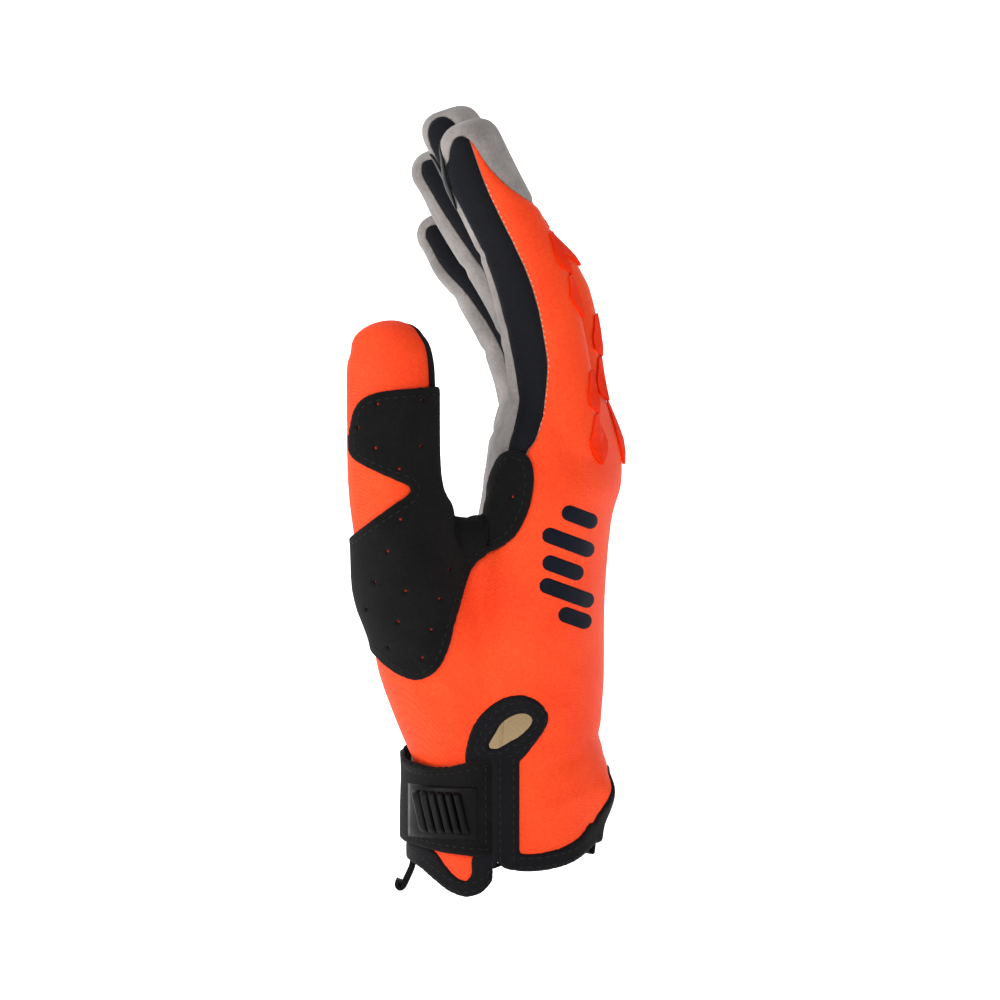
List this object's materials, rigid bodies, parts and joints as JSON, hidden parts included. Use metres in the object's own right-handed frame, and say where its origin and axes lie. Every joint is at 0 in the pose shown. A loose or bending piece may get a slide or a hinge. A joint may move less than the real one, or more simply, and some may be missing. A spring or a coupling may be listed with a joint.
{
  "type": "motocross glove",
  "caption": "Right-hand motocross glove in orange knit and grey suede, as worn, with moulded knuckle plates, a suede guard over the thumb's web and a wrist strap.",
  "frame": {"origin": "centre of the wrist opening, at the height of the hem where the cuff's side lobes end", "axes": "+Z from the wrist towards the fingertips; +X out of the back of the hand, so the palm faces -X; -Y towards the thumb and index finger, +Y towards the little finger"},
  "size_m": [0.0819, 0.1052, 0.2335],
  "materials": {
    "orange_knit": "fluorescent orange stretch knit, matte",
    "grey_suede": "mid grey synthetic suede, matte",
    "black_stretch": "black stretch fabric, matte",
    "black_suede": "black perforated synthetic suede, matte",
    "black_binding": "black woven binding, satin",
    "orange_rubber": "moulded orange rubber, satin",
    "black_rubber": "moulded black rubber, semi gloss"
  },
  "bodies": {
    "root": {"back": "orange_knit", "palm": "grey_suede", "back_cuff": "orange_knit", "back_index": "orange_knit", "back_middle": "orange_knit", "back_ring": "orange_knit", "back_pinky": "orange_knit", "palm_cuff": "grey_suede", "palm_index": "grey_suede", "palm_middle": "grey_suede", "palm_ring": "grey_suede", "palm_pinky": "grey_suede", "thumb_back": "orange_knit", "thumb_palm": "black_suede", "side_panel_index": "black_stretch", "side_panel_pinky": "black_stretch", "fourchette_index_middle": "black_stretch", "fourchette_middle_ring": "black_stretch", "fourchette_ring_pinky": "black_stretch", "web_guard": "black_suede", "cuff_binding": "black_binding", "strap": "black_suede", "strap_badge": "black_rubber", "pull_tab": "black_binding", "knuckle_index_upper": "orange_rubber", "knuckle_index_lower": "orange_rubber", "knuckle_middle_upper": "orange_rubber", "knuckle_middle_lower": "orange_rubber", "knuckle_ring_upper": "orange_rubber", "knuckle_ring_lower": "orange_rubber", "knuckle_pinky_upper": "orange_rubber", "knuckle_pinky_lower": "orange_rubber", "grip_print_index": "black_rubber", "grip_print_middle": "black_rubber"}
  },
  "joints": []
}
